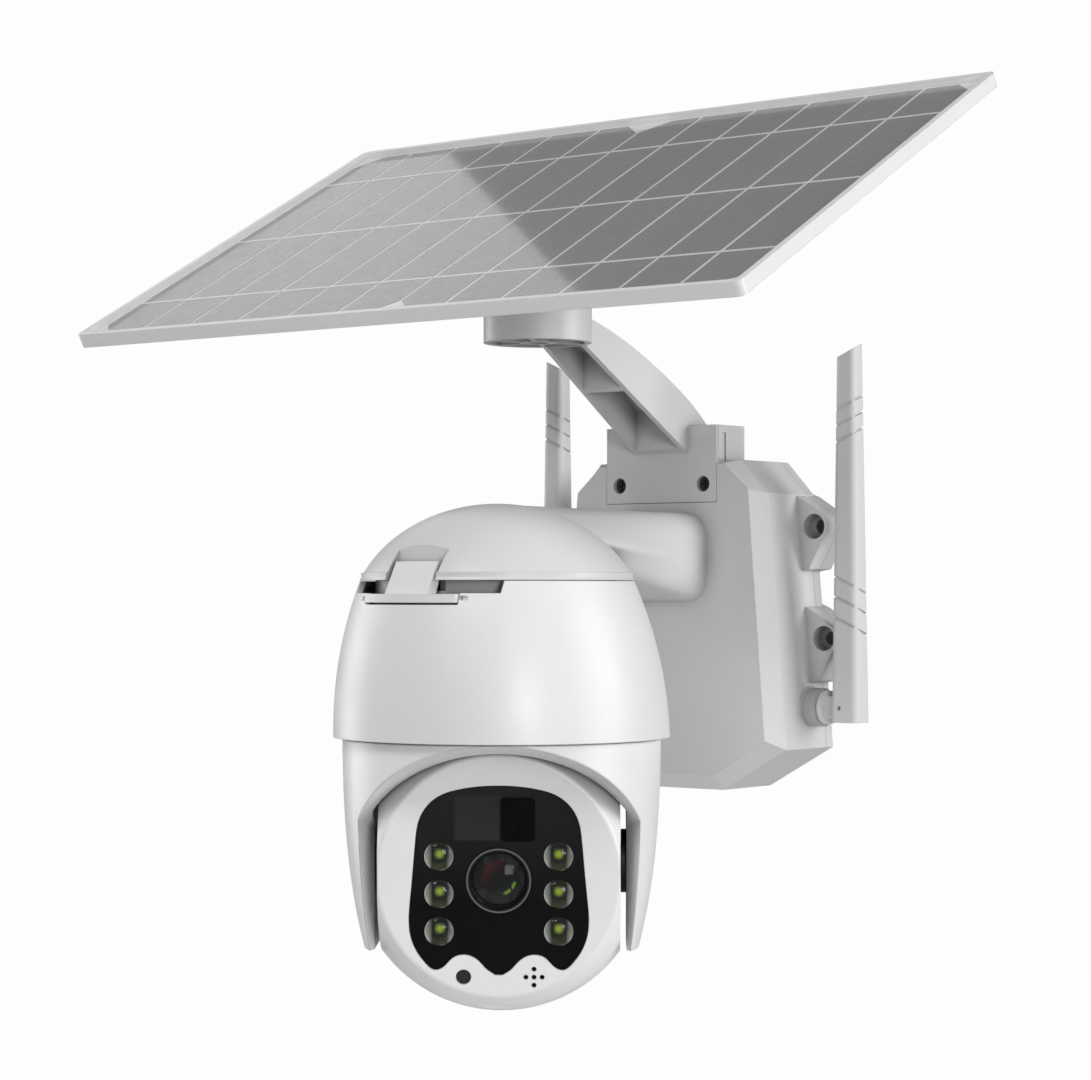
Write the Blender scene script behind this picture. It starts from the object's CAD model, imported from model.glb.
import math

import bmesh
import bpy
from mathutils import Matrix, Vector


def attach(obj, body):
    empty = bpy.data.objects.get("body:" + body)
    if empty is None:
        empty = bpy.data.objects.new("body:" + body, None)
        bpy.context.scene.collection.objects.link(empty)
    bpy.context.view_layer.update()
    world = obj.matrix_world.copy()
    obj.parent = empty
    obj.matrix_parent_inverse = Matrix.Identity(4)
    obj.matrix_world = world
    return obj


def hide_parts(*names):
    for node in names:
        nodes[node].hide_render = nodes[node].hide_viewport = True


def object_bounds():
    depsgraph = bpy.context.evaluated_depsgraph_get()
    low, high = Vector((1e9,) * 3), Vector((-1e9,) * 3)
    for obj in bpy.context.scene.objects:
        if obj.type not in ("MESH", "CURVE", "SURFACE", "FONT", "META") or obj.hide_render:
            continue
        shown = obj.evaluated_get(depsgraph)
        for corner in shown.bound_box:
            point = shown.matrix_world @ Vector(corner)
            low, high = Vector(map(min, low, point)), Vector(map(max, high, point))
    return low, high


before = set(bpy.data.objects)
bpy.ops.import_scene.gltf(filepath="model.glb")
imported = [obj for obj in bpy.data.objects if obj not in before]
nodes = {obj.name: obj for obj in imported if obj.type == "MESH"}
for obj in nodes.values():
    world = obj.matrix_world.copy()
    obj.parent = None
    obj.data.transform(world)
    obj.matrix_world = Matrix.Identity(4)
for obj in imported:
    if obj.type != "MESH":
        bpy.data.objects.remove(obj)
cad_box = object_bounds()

MM = 0.001

# ---------------------------------------------------------------------------
# Frames shared with the CAD: the head's own axes and the panel's own axes
# ---------------------------------------------------------------------------
PAN, TILT = math.radians(37.0), math.radians(5.0)
ACROSS = Vector((math.cos(PAN), math.sin(PAN), 0.0))
AHEAD = Vector((math.sin(PAN), -math.cos(PAN), 0.0))
LOOKING = AHEAD * math.cos(TILT) + Vector((0, 0, -math.sin(TILT)))
UP = LOOKING.cross(ACROSS).normalized()
PIVOT = Vector((0.0, -123.4, -73.8)) * MM
HEAD = Matrix.Translation(PIVOT) @ Matrix((ACROSS, UP, LOOKING)).transposed().to_4x4()
PANEL_TILT = math.radians(28.7)
PANEL_ORIGIN = Vector((0.0, -112.0, 134.0)) * MM


# ---------------------------------------------------------------------------
# Materials
# ---------------------------------------------------------------------------
class Graph:
    """A material with a Principled shader and short calls to add nodes to it."""

    def __init__(self, name):
        self.material = bpy.data.materials.new(name)
        self.material.use_nodes = True
        self.tree = self.material.node_tree
        self.shader = self.tree.nodes["Principled BSDF"]
        self.coords = self.add("ShaderNodeTexCoord").outputs["Object"]

    def add(self, kind, links=None, **settings):
        node = self.tree.nodes.new(kind)
        for key, value in settings.items():
            setattr(node, key, value)
        for socket, value in (links or {}).items():
            self.set(node.inputs[socket], value)
        return node

    def set(self, socket, value):
        if isinstance(value, bpy.types.NodeSocket):
            self.tree.links.new(value, socket)
        else:
            socket.default_value = value

    def put(self, socket, value):
        self.set(self.shader.inputs[socket], value)

    def math(self, operation, a, b=0.0):
        return self.add("ShaderNodeMath", {0: a, 1: b}, operation=operation).outputs[0]

    def noise(self, scale, detail=2.0, roughness=0.5, vector=None):
        links = {"Vector": vector or self.coords, "Scale": scale, "Detail": detail, "Roughness": roughness}
        return self.add("ShaderNodeTexNoise", links).outputs["Fac"]

    def spread(self, value, low, high, start=0.3, end=0.7):
        links = {"Value": value, "From Min": start, "From Max": end, "To Min": low, "To Max": high}
        return self.add("ShaderNodeMapRange", links).outputs["Result"]

    def blend(self, factor, a, b):
        node = self.add("ShaderNodeMix", data_type="RGBA")
        self.set(node.inputs[0], factor)
        self.set(node.inputs[6], a)
        self.set(node.inputs[7], b)
        return node.outputs[2]

    def bump(self, height, depth, strength, normal=None):
        links = {"Height": height, "Distance": depth, "Strength": strength}
        if normal is not None:
            links["Normal"] = normal
        return self.add("ShaderNodeBump", links).outputs["Normal"]


def rgba(colour, factor=1.0):
    return (colour[0] * factor, colour[1] * factor, colour[2] * factor, 1.0)


def plastic(name, colour, rough, grain=0.00035, depth=0.00002, mottle=0.03, soft_edge=0.0004, crevice=0.0,
            **sockets):
    """Moulded plastic: spark-eroded grain, slight mottling, softened edges and duller crevices."""
    g = Graph(name)
    patches = g.noise(22.0, 3.0)
    specks = g.noise(420.0, 2.0)
    tone = g.blend(g.spread(patches, 0.0, 1.0), rgba(colour, 1.0 - mottle), rgba(colour))
    tone = g.blend(g.spread(specks, 0.0, 0.35, 0.55, 0.75), tone, rgba(colour, 1.0 - 1.5 * mottle))
    if crevice:
        near = g.add("ShaderNodeAmbientOcclusion", {"Distance": crevice}, samples=6).outputs["AO"]
        tone = g.blend(g.spread(near, 0.0, 1.0, 0.05, 0.8), rgba(colour, 0.30), tone)
    g.put("Base Color", tone)
    g.put("Roughness", g.spread(g.noise(60.0, 4.0), rough - 0.05, rough + 0.06))
    height = g.noise(1.0 / grain, 3.0, 0.55)
    rounded = None
    if soft_edge:
        rounded = g.add("ShaderNodeBevel", {"Radius": soft_edge}, samples=3).outputs["Normal"]
    g.put("Normal", g.bump(height, depth, 0.6, rounded))
    for socket, value in sockets.items():
        g.put(socket.replace("_", " "), value)
    return g.material


def metal(name, colour, rough, streak=(1.0, 1.0, 14.0), depth=0.00001):
    """Plated or turned metal: fine streaks in roughness and tone."""
    g = Graph(name)
    stretched = g.add("ShaderNodeVectorMath", {0: g.coords, 1: streak}, operation="MULTIPLY").outputs[0]
    lines = g.noise(900.0, 4.0, 0.6, stretched)
    blotch = g.noise(90.0, 3.0)
    g.put("Base Color", g.blend(g.spread(blotch, 0.0, 1.0), rgba(colour, 0.86), rgba(colour)))
    g.put("Metallic", 1.0)
    g.put("Roughness", g.spread(lines, rough - 0.08, rough + 0.1))
    g.put("Normal", g.bump(lines, depth, 0.5))
    return g.material


shell = plastic("shell_white", (0.70, 0.705, 0.71), 0.38, crevice=0.01)
shell_hood = plastic("shell_hood", (0.83, 0.835, 0.84), 0.36)
head_white = plastic("head_white", (0.89, 0.895, 0.90), 0.33, crevice=0.013)
tray_white = plastic("tray_white", (0.89, 0.89, 0.89), 0.34, soft_edge=0.0003)
antenna_white = plastic("antenna_white", (0.74, 0.74, 0.745), 0.5, grain=0.0003)
inner_white = plastic("inner_white", (0.72, 0.72, 0.71), 0.5)
dark = plastic("dark_plastic", (0.018, 0.018, 0.02), 0.5, mottle=0.15)
dark_mount = plastic("dark_mount", (0.05, 0.05, 0.055), 0.42, mottle=0.12)
gear_natural = plastic("gear_natural", (0.78, 0.76, 0.7), 0.4, soft_edge=0.0002)
sheet_white = plastic("sheet_white", (0.86, 0.86, 0.86), 0.45, grain=0.0008, depth=0.00001, soft_edge=0.0,
                      Coat_Weight=1.0, Coat_Roughness=0.06)
zinc = metal("zinc_steel", (0.6, 0.6, 0.61), 0.32)
can = metal("motor_can", (0.7, 0.7, 0.71), 0.36)
dark_screw = metal("dark_screw", (0.10, 0.10, 0.105), 0.4)
collar_grey = plastic("collar_grey", (0.45, 0.45, 0.46), 0.5)
yoke_white = plastic("yoke_white", (0.89, 0.895, 0.90), 0.35, soft_edge=0.001)
contact = metal("contact_metal", (0.75, 0.74, 0.7), 0.34)


def rubber_material():
    g = Graph("seal_rubber")
    fine = g.noise(2600.0, 3.0)
    g.put("Base Color", g.blend(g.spread(g.noise(120.0), 0.0, 1.0), rgba((0.02, 0.02, 0.021)),
                                rgba((0.035, 0.035, 0.036))))
    g.put("Roughness", g.spread(fine, 0.62, 0.8))
    g.put("Normal", g.bump(fine, 0.00003, 0.6))
    return g.material


WRAP_BAND_Z = 23.5 * MM   # the wrap is pale above this height


def wrap_material():
    """Shrink-wrapped cells: a blue film with a pale band near the top."""
    g = Graph("cell_wrap")
    split = g.add("ShaderNodeSeparateXYZ", {0: g.coords})
    z = split.outputs["Z"]
    band = g.math("GREATER_THAN", z, WRAP_BAND_Z)
    colour = g.blend(g.spread(g.noise(70.0), 0.0, 1.0), rgba((0.03, 0.13, 0.33)), rgba((0.04, 0.17, 0.4)))
    g.put("Base Color", g.blend(band, colour, rgba((0.72, 0.72, 0.7))))
    g.put("Roughness", g.spread(g.noise(300.0), 0.2, 0.34))
    g.put("Normal", g.bump(g.noise(160.0, 3.0), 0.00008, 0.4))
    return g.material


def board_material():
    """Green solder mask with a grid of paler lines."""
    g = Graph("circuit_board")
    brick = g.add("ShaderNodeTexBrick", {"Vector": g.coords, "Scale": 260.0, "Mortar Size": 0.012,
                                         "Color1": rgba((0.015, 0.10, 0.05)),
                                         "Color2": rgba((0.02, 0.13, 0.06)),
                                         "Mortar": rgba((0.05, 0.22, 0.11))})
    g.put("Base Color", brick.outputs["Color"])
    g.put("Roughness", g.spread(g.noise(200.0), 0.3, 0.42))
    g.put("Normal", g.bump(brick.outputs["Fac"], 0.00004, 0.7))
    return g.material


def head_axes(g, right=0.0, up=0.0):
    """Distances across and up from a spot on the face, in millimetres."""
    origin = HEAD @ Vector((right * MM, up * MM, 0.0))
    local = g.add("ShaderNodeVectorMath", {0: g.coords, 1: origin}, operation="SUBTRACT").outputs[0]
    distances = []
    for axis in (ACROSS, UP):
        dot = g.add("ShaderNodeVectorMath", {0: local, 1: axis}, operation="DOT_PRODUCT").outputs["Value"]
        distances.append(g.math("DIVIDE", dot, MM))
    return distances


def radius_from(g, a, b):
    """Distance from the spot that offsets a and b are measured from."""
    return g.math("SQRT", g.math("ADD", g.math("MULTIPLY", a, a), g.math("MULTIPLY", b, b)))


def inside(g, value, low, high, soft):
    """1 between low and high, falling to 0 over a soft edge."""
    rise = g.spread(value, 0.0, 1.0, low - soft, low + soft)
    return g.math("MULTIPLY", rise, g.spread(value, 1.0, 0.0, high - soft, high + soft))


# Extent of the paler patch on the face, in millimetres in the head's frame.
PATCH_ACROSS = (-13.5, 0.6)
PATCH_UP = (11.2, 25.0)
EDGE_SOFT = 0.5


def gloss_black():
    """High-gloss front plate: deep black with a paler patch beside the sensor window."""
    g = Graph("face_black")
    a, b = head_axes(g)
    patch = g.math("MULTIPLY", inside(g, a, *PATCH_ACROSS, EDGE_SOFT), inside(g, b, *PATCH_UP, EDGE_SOFT))
    height = g.spread(b, 0.0, 1.0, -8.0, 26.0)
    black = g.blend(height, rgba((0.004, 0.004, 0.0045)), rgba((0.022, 0.022, 0.0225)))
    black = g.blend(g.spread(g.noise(40.0), 0.0, 0.2), black, rgba((0.002, 0.002, 0.002)))
    g.put("Base Color", g.blend(patch, black, rgba((0.031, 0.031, 0.031))))
    g.put("Roughness", g.spread(g.noise(90.0, 3.0), 0.08, 0.16))
    g.put("Specular IOR Level", 0.3)
    g.put("Normal", g.bump(g.noise(260.0, 2.0), 0.000004, 0.5))
    return g.material


def smoked_window():
    g = Graph("smoked_window")
    g.put("Base Color", g.blend(g.spread(g.noise(60.0), 0.0, 1.0), rgba((0.002, 0.002, 0.002)),
                                rgba((0.004, 0.004, 0.005))))
    g.put("Roughness", g.spread(g.noise(200.0), 0.2, 0.3))
    g.put("Specular IOR Level", 0.12)
    g.put("Normal", g.bump(g.noise(900.0, 2.0), 0.000006, 0.5))
    return g.material


STRIP_PITCH = 21.5 * MM
FINGER_PITCH = 1.72 * MM
FINGER_SHARE = 0.11       # width of a printed line as a share of its pitch
TONE_SEED = 3.0


def cell_material():
    """Silicon strips: fine printed fingers along each strip, tones that differ from strip to strip."""
    g = Graph("silicon_cell")
    local = g.add("ShaderNodeVectorMath", {0: g.coords, 1: PANEL_ORIGIN}, operation="SUBTRACT").outputs[0]
    local = g.add("ShaderNodeVectorRotate", {"Vector": local, "Angle": -PANEL_TILT},
                  rotation_type="X_AXIS").outputs[0]
    split = g.add("ShaderNodeSeparateXYZ", {0: local})
    u, v = split.outputs["X"], split.outputs["Y"]
    finger = g.math("FRACT", g.math("DIVIDE", u, FINGER_PITCH))
    finger = g.math("LESS_THAN", finger, FINGER_SHARE)
    strip = g.math("FLOOR", g.math("DIVIDE", u, STRIP_PITCH))
    tone = g.add("ShaderNodeTexWhiteNoise", {"W": g.math("ADD", strip, TONE_SEED)},
                 noise_dimensions="1D").outputs["Value"]
    grey = g.blend(tone, rgba((0.170, 0.172, 0.184)), rgba((0.205, 0.201, 0.215)))
    crystal = g.noise(240.0, 4.0, 0.6)
    grey = g.blend(g.spread(crystal, 0.0, 0.35), grey, rgba((0.23, 0.23, 0.245)))
    drift = g.spread(g.noise(14.0, 2.0), 0.0, 0.4)
    grey = g.blend(drift, grey, rgba((0.135, 0.138, 0.15)))
    g.put("Base Color", g.blend(finger, grey, rgba((0.42, 0.42, 0.44))))
    g.put("Roughness", g.spread(crystal, 0.3, 0.45))
    g.put("Metallic", 0.15)
    g.put("Coat Weight", 1.0)
    g.put("Coat Roughness", 0.05)
    g.put("Normal", g.bump(finger, 0.00002, 0.5))
    return g.material


def clear(name, colour, rough, alpha, **sockets):
    """A clear moulding seen as a thin shell: gloss on top, see-through below."""
    g = Graph(name)
    g.put("Base Color", rgba(colour))
    g.put("Roughness", g.spread(g.noise(150.0), rough, rough + 0.04))
    g.put("Alpha", alpha)
    g.put("Normal", g.bump(g.noise(120.0, 2.0), 0.000004, 0.4))
    for socket, value in sockets.items():
        g.put(socket.replace("_", " "), value)
    return g.material


rubber = rubber_material()
wrap = wrap_material()
board = board_material()
face_black = gloss_black()
window_black = smoked_window()
cells = cell_material()
cover_clear = clear("cover_clear", (0.9, 0.92, 0.94), 0.04, 0.06)

ASSIGN = {
    "front_housing": shell, "back_cover": shell, "solar_arm": shell, "pan_base": inner_white,
    "hood_skirt": shell_hood, "hood_latch": shell_hood, "pan_yoke": yoke_white,
    "head_front_shell": head_white, "head_rear_shell": head_white, "swivel_base": shell,
    "panel_bracket": shell, "antenna_sockets": collar_grey,
    "left_antenna": antenna_white, "right_antenna": antenna_white,
    "left_antenna_knuckle": antenna_white, "right_antenna_knuckle": antenna_white,
    "panel_tray": tray_white, "panel_backsheet": sheet_white, "solar_cells": cells,
    "panel_glass": cover_clear, "busbars": sheet_white,
    "junction_box": dark_mount, "tilt_knob": dark_mount,
    "cover_gasket": rubber, "dome_harness": rubber, "battery_cells": wrap, "battery_cradle": dark,
    "charge_board": board, "sensor_board": board, "led_board": dark, "contact_strips": contact,
    "pan_motor": can, "tilt_motor": can, "pan_gear": gear_natural, "pan_pinion": gear_natural,
    "tilt_gear": gear_natural, "tilt_pinion": gear_natural, "pan_bush": gear_natural,
    "axle_washers": dark, "drive_axle": zinc, "idler_axle": zinc, "spindle_clip": zinc,
    "arm_screws": dark_screw, "cover_screws": zinc, "base_screws": zinc, "head_screws": zinc,
    "bracket_screws": zinc, "latch_pin": zinc, "swivel_screw": zinc, "tilt_bolt": zinc,
    "face_plate": face_black, "sensor_window": window_black, "lens_barrel": dark,
    "microphone": dark, "speaker": dark,
}


def dress(obj, material):
    obj.data.materials.clear()
    obj.data.materials.append(material)


for node_name, material in ASSIGN.items():
    dress(nodes[node_name], material)


# ---------------------------------------------------------------------------
# Lathed pieces on the head: lens stack, lamp cups and lamp domes
# ---------------------------------------------------------------------------
def turned(name, centre, profile, segments):
    """A lathed piece in the head's frame; profile is (radius, distance out) in millimetres."""
    mesh = bpy.data.meshes.new(name)
    bm = bmesh.new()
    rings = []
    for radius, out in profile:
        if radius < 1e-6:
            rings.append([bm.verts.new((centre[0] * MM, centre[1] * MM, out * MM))])
            continue
        ring = []
        for k in range(segments):
            a = 2 * math.pi * k / segments
            ring.append(bm.verts.new(((centre[0] + radius * math.cos(a)) * MM,
                                      (centre[1] + radius * math.sin(a)) * MM, out * MM)))
        rings.append(ring)
    for low, high in zip(rings, rings[1:]):
        for k in range(segments):
            a, b = low[k % len(low)], low[(k + 1) % len(low)]
            c, d = high[(k + 1) % len(high)], high[k % len(high)]
            corners = [v for i, v in enumerate((a, b, c, d)) if v not in (a, b, c, d)[:i]]
            if len(corners) > 2:
                bm.faces.new(corners)
    bm.transform(HEAD)
    bmesh.ops.recalc_face_normals(bm, faces=bm.faces)
    bm.to_mesh(mesh)
    bm.free()
    mesh.shade_smooth()
    mesh.set_sharp_from_angle(angle=math.radians(32))
    obj = bpy.data.objects.new(name, mesh)
    bpy.context.scene.collection.objects.link(obj)
    return obj


def head_piece(name, centre, profile, material, segments=64):
    """A lathed piece that tilts with the head."""
    obj = turned(name, centre, profile, segments)
    obj.data.materials.append(material)
    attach(obj, "tilt_head")


def cap_profile(radius, base, rise, steps):
    """Profile of a domed cap, from its top on the axis down to its rim at base."""
    angles = [t * math.pi / (2 * steps) for t in range(steps + 1)]
    return [(radius * math.sin(a), base + rise * math.cos(a)) for a in angles]


# In millimetres in the head's frame: distance out to the face plate, and the lens centre.
FACE = 28.0
LENS = (0.0, -1.3)


DIAGONAL = 0.7071         # turns an offset by 45 degrees
ARC_GAPS = 9.0            # gaps in one whole turn of the arcs


def coating(name, cool, warm, rough, arcs):
    """Anti-reflection coating: cool tint low right under broken green arcs, warm tint high left."""
    g = Graph(name)
    a, b = head_axes(g, *LENS)
    along = g.math("MULTIPLY", g.math("SUBTRACT", a, b), DIAGONAL)
    colour = g.blend(g.spread(along, 1.0, 0.0, -7.5, -0.5), rgba((0.004, 0.006, 0.009)), rgba(warm))
    colour = g.blend(g.spread(along, 0.0, 1.0, 3.0, 8.0), colour, rgba(cool))
    radius = radius_from(g, a, b)
    turn = g.math("ARCTAN2", b, a)
    phase = g.math("ADD", g.math("MULTIPLY", turn, ARC_GAPS), radius)
    gaps = g.math("GREATER_THAN", g.math("SINE", phase), -0.8)
    band = g.math("MULTIPLY", inside(g, radius, 4.6, 7.6, 0.25), inside(g, turn, -1.25, -0.25, 0.1))
    outer = g.math("MULTIPLY", inside(g, radius, 8.0, 8.5, 0.15), inside(g, turn, -1.6, 0.75, 0.2))
    broken = g.math("MULTIPLY", band, gaps)
    mask = g.math("MINIMUM", g.math("ADD", broken, g.math("MULTIPLY", outer, 0.35)), arcs)
    g.put("Base Color", g.blend(mask, colour, rgba((0.36, 0.6, 0.06))))
    g.put("Metallic", 0.1)
    g.put("Roughness", rough)
    g.put("Coat Weight", 1.0)
    g.put("Coat Roughness", 0.02)
    return g.material


RING_LINE = (9.55, 9.95)


def ring_material():
    """Dark lens ring with a thin pale line round its outside."""
    g = Graph("lens_ring")
    a, b = head_axes(g, *LENS)
    radius = radius_from(g, a, b)
    line = inside(g, radius, *RING_LINE, 0.1)
    g.put("Base Color", g.blend(line, rgba((0.008, 0.008, 0.008)), rgba((0.14, 0.145, 0.15))))
    g.put("Roughness", g.spread(g.noise(300.0), 0.3, 0.4))
    g.put("Normal", g.bump(g.noise(1500.0), 0.00001, 0.4))
    return g.material


dress(nodes["lens_ring"], ring_material())
baffle = plastic("lens_baffle", (0.006, 0.006, 0.007), 0.35, mottle=0.2, soft_edge=0.0)
inner_coat = coating("inner_coating", (0.014, 0.06, 0.016), (0.16, 0.03, 0.032), 0.12, 1.0)
deep_coat = coating("deep_coating", (0.012, 0.026, 0.03), (0.02, 0.004, 0.012), 0.08, 0.0)
lens_clear = clear("lens_clear", (0.015, 0.016, 0.015), 0.02, 0.1, Coat_Weight=1.0, Coat_Roughness=0.02)
lamp_clear = clear("lamp_clear", (0.03, 0.032, 0.03), 0.03, 0.2, Coat_Weight=1.0, Coat_Roughness=0.02)
dress(nodes["lens_glass"], lens_clear)

BAFFLE_STEPS = 6
BAFFLE_DROP = 0.55        # each step is this much deeper and narrower than the last
BAFFLE_LEDGE = 0.35
baffle_rings = [(9.0, FACE - 1.2)]
for step in range(BAFFLE_STEPS):
    edge = 8.9 - BAFFLE_DROP * step
    depth = FACE - 4.6 - BAFFLE_DROP * step
    baffle_rings += [(edge, depth), (edge - BAFFLE_LEDGE, depth)]
baffle_rings += [(5.4, FACE - 8.4)]
head_piece("lens_baffle_rings", LENS, baffle_rings, baffle)
head_piece("lens_inner_element", LENS, cap_profile(8.6, FACE - 5.6, 0.95, 8), inner_coat)
head_piece("lens_deep_element", LENS, cap_profile(2.6, FACE - 4.9, 0.32, 6), deep_coat)

# Two columns of three lamps, in millimetres in the head's frame.
LAMP_PITCH = 11.65
LAMP_TOP = 6.2
LAMP_COLUMN = 18.4


def lamp_offsets(g):
    """Distances across and up from the nearest lamp's centre, in millimetres."""
    a, b = head_axes(g)
    row = g.math("DIVIDE", g.math("SUBTRACT", LAMP_TOP, b), LAMP_PITCH)
    up = g.math("MULTIPLY", g.math("SUBTRACT", g.math("FRACT", g.math("ADD", row, 0.5)), 0.5), -LAMP_PITCH)
    return g.math("SUBTRACT", g.math("ABSOLUTE", a), LAMP_COLUMN), up


def phosphor_material():
    """Yellow-green phosphor, brightest in its middle."""
    g = Graph("led_phosphor")
    right, up = lamp_offsets(g)
    radius = radius_from(g, right, up)
    middle = g.spread(radius, 1.0, 0.0, 0.5, 1.7)
    colour = g.blend(middle, rgba((0.03, 0.045, 0.018)), rgba((0.5, 0.68, 0.05)))
    g.put("Base Color", colour)
    g.put("Roughness", 0.55)
    g.put("Emission Color", colour)
    g.put("Emission Strength", 0.35)
    g.put("Normal", g.bump(g.noise(2400.0), 0.00003, 0.5))
    return g.material


def cup_material():
    """Moulded reflector: dark across its middle, bright crescents at both sides."""
    g = Graph("lamp_cup")
    right, up = lamp_offsets(g)
    side = g.spread(g.math("ABSOLUTE", right), 0.0, 1.0, 2.2, 3.5)
    g.put("Base Color", g.blend(side, rgba((0.022, 0.024, 0.02)), rgba((0.85, 0.87, 0.85))))
    g.put("Metallic", 0.05)
    g.put("Roughness", g.spread(g.noise(700.0), 0.12, 0.24))
    g.put("Normal", g.bump(g.noise(1500.0), 0.00001, 0.5))
    return g.material


dress(nodes["led_dies"], phosphor_material())
cup = cup_material()
LAMPS = [(side * LAMP_COLUMN, LAMP_TOP - LAMP_PITCH * row) for side in (-1, 1) for row in range(3)]
LAMP_SEGMENTS = 48
LAMP_RADIUS = 4.45
LAMP_BACK = FACE - 0.8
bowl = [(LAMP_RADIUS, FACE - 0.7), (4.3, LAMP_BACK), (3.7, FACE - 2.6), (2.9, FACE - 4.1), (2.3, FACE - 4.75)]
dome = cap_profile(4.4, FACE - 0.5, 1.75, 8) + [(LAMP_RADIUS, LAMP_BACK), (0.0, LAMP_BACK)]
for number, spot in enumerate(LAMPS, 1):
    head_piece(f"lamp_cup_{number}", spot, bowl, cup, LAMP_SEGMENTS)
    head_piece(f"lamp_dome_{number}", spot, dome, lamp_clear, LAMP_SEGMENTS)
    if number == 1:
        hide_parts("led_optics")

# ---------------------------------------------------------------------------
# Camera, floor and light
# ---------------------------------------------------------------------------
camera_data = bpy.data.cameras.new("camera")
camera_data.lens = 92.8
camera_data.sensor_width = 36.0
camera_data.clip_start = 0.05
camera = bpy.data.objects.new("camera", camera_data)
bpy.context.scene.collection.objects.link(camera)
CAMERA_AT = Vector((561.6, -817.4, 11.5)) * MM
FORWARD = Vector((-0.6168, 0.7869, 0.0181)).normalized()
RIGHT = FORWARD.cross(Vector((0, 0, 1))).normalized()
ABOVE = RIGHT.cross(FORWARD).normalized()
camera.matrix_world = (Matrix.Translation(CAMERA_AT)
                       @ Matrix((RIGHT, ABOVE, -FORWARD)).transposed().to_4x4())
bpy.context.scene.camera = camera

FLOOR_DROP = 0.16         # gap between the lowest point of the part and the floor
FLOOR_RADIUS = 1.3
FLOOR_SOLID, FLOOR_GONE = 0.22, 0.5     # the floor fades out between these distances
floor_mesh = bpy.data.meshes.new("floor")
bm = bmesh.new()
bmesh.ops.create_circle(bm, cap_ends=True, segments=96, radius=FLOOR_RADIUS)
bm.to_mesh(floor_mesh)
bm.free()
floor = bpy.data.objects.new("floor", floor_mesh)
floor.location = (0, -0.1, cad_box[0][2] - FLOOR_DROP)
bpy.context.scene.collection.objects.link(floor)
g = Graph("floor_pale")
away = g.add("ShaderNodeVectorMath", {0: g.coords}, operation="LENGTH").outputs["Value"]
cloud = g.spread(g.noise(9.0), 0.0, 1.0)
g.put("Base Color", g.blend(cloud, rgba((0.9, 0.9, 0.9)), rgba((0.93, 0.93, 0.93))))
g.put("Roughness", 0.8)
g.put("Alpha", g.spread(away, 1.0, 0.0, FLOOR_SOLID, FLOOR_GONE))
floor_mesh.materials.append(g.material)

FILL_STRENGTH = 0.18      # what the world adds to the lighting
BACKDROP_STRENGTH = 0.985  # what the camera sees behind the part
world = bpy.data.worlds.new("studio")
world.use_nodes = True
bpy.context.scene.world = world
wt = world.node_tree
soft = wt.nodes["Background"]
seen = wt.nodes.new("ShaderNodeBackground")
for background, strength in ((soft, FILL_STRENGTH), (seen, BACKDROP_STRENGTH)):
    background.inputs["Color"].default_value = (1.0, 1.0, 1.0, 1.0)
    background.inputs["Strength"].default_value = strength
path = wt.nodes.new("ShaderNodeLightPath")
choose = wt.nodes.new("ShaderNodeMixShader")
wt.links.new(path.outputs["Is Camera Ray"], choose.inputs[0])
wt.links.new(soft.outputs[0], choose.inputs[1])
wt.links.new(seen.outputs[0], choose.inputs[2])
wt.links.new(choose.outputs[0], wt.nodes["World Output"].inputs["Surface"])


DOME_FRONT = (0.0, -0.11, 0.0)
PANEL_LEFT = (-0.12, -0.112, 0.134)


def softbox(name, azimuth, elevation, distance, size, power, target=DOME_FRONT):
    """An area light aimed at the object; azimuth 0 is in front of the wall, 90 to the right."""
    a, e = math.radians(azimuth), math.radians(elevation)
    away = Vector((math.sin(a) * math.cos(e), -math.cos(a) * math.cos(e), math.sin(e)))
    data = bpy.data.lights.new(name, "AREA")
    data.shape = "RECTANGLE"
    data.size, data.size_y = size
    data.energy = power
    lamp = bpy.data.objects.new(name, data)
    lamp.location = Vector(target) + away * distance
    lamp.rotation_euler = away.to_track_quat("Z", "Y").to_euler()
    bpy.context.scene.collection.objects.link(lamp)


softbox("key", azimuth=4, elevation=46, distance=1.7, size=(0.7, 0.7), power=12.0)
softbox("front", azimuth=56, elevation=4, distance=1.7, size=(0.5, 0.5), power=8.5)
softbox("side", azimuth=114, elevation=10, distance=1.6, size=(0.8, 1.0), power=14.0)
softbox("left", azimuth=-84, elevation=8, distance=1.6, size=(0.8, 1.2), power=10.0)
# Reflected by the left half of the panel towards the photo's camera.
softbox("glare", azimuth=-125.7, elevation=32.6, distance=1.6, size=(0.35, 0.6), power=0.55,
        target=PANEL_LEFT)

bpy.context.scene.view_settings.view_transform = "Standard"
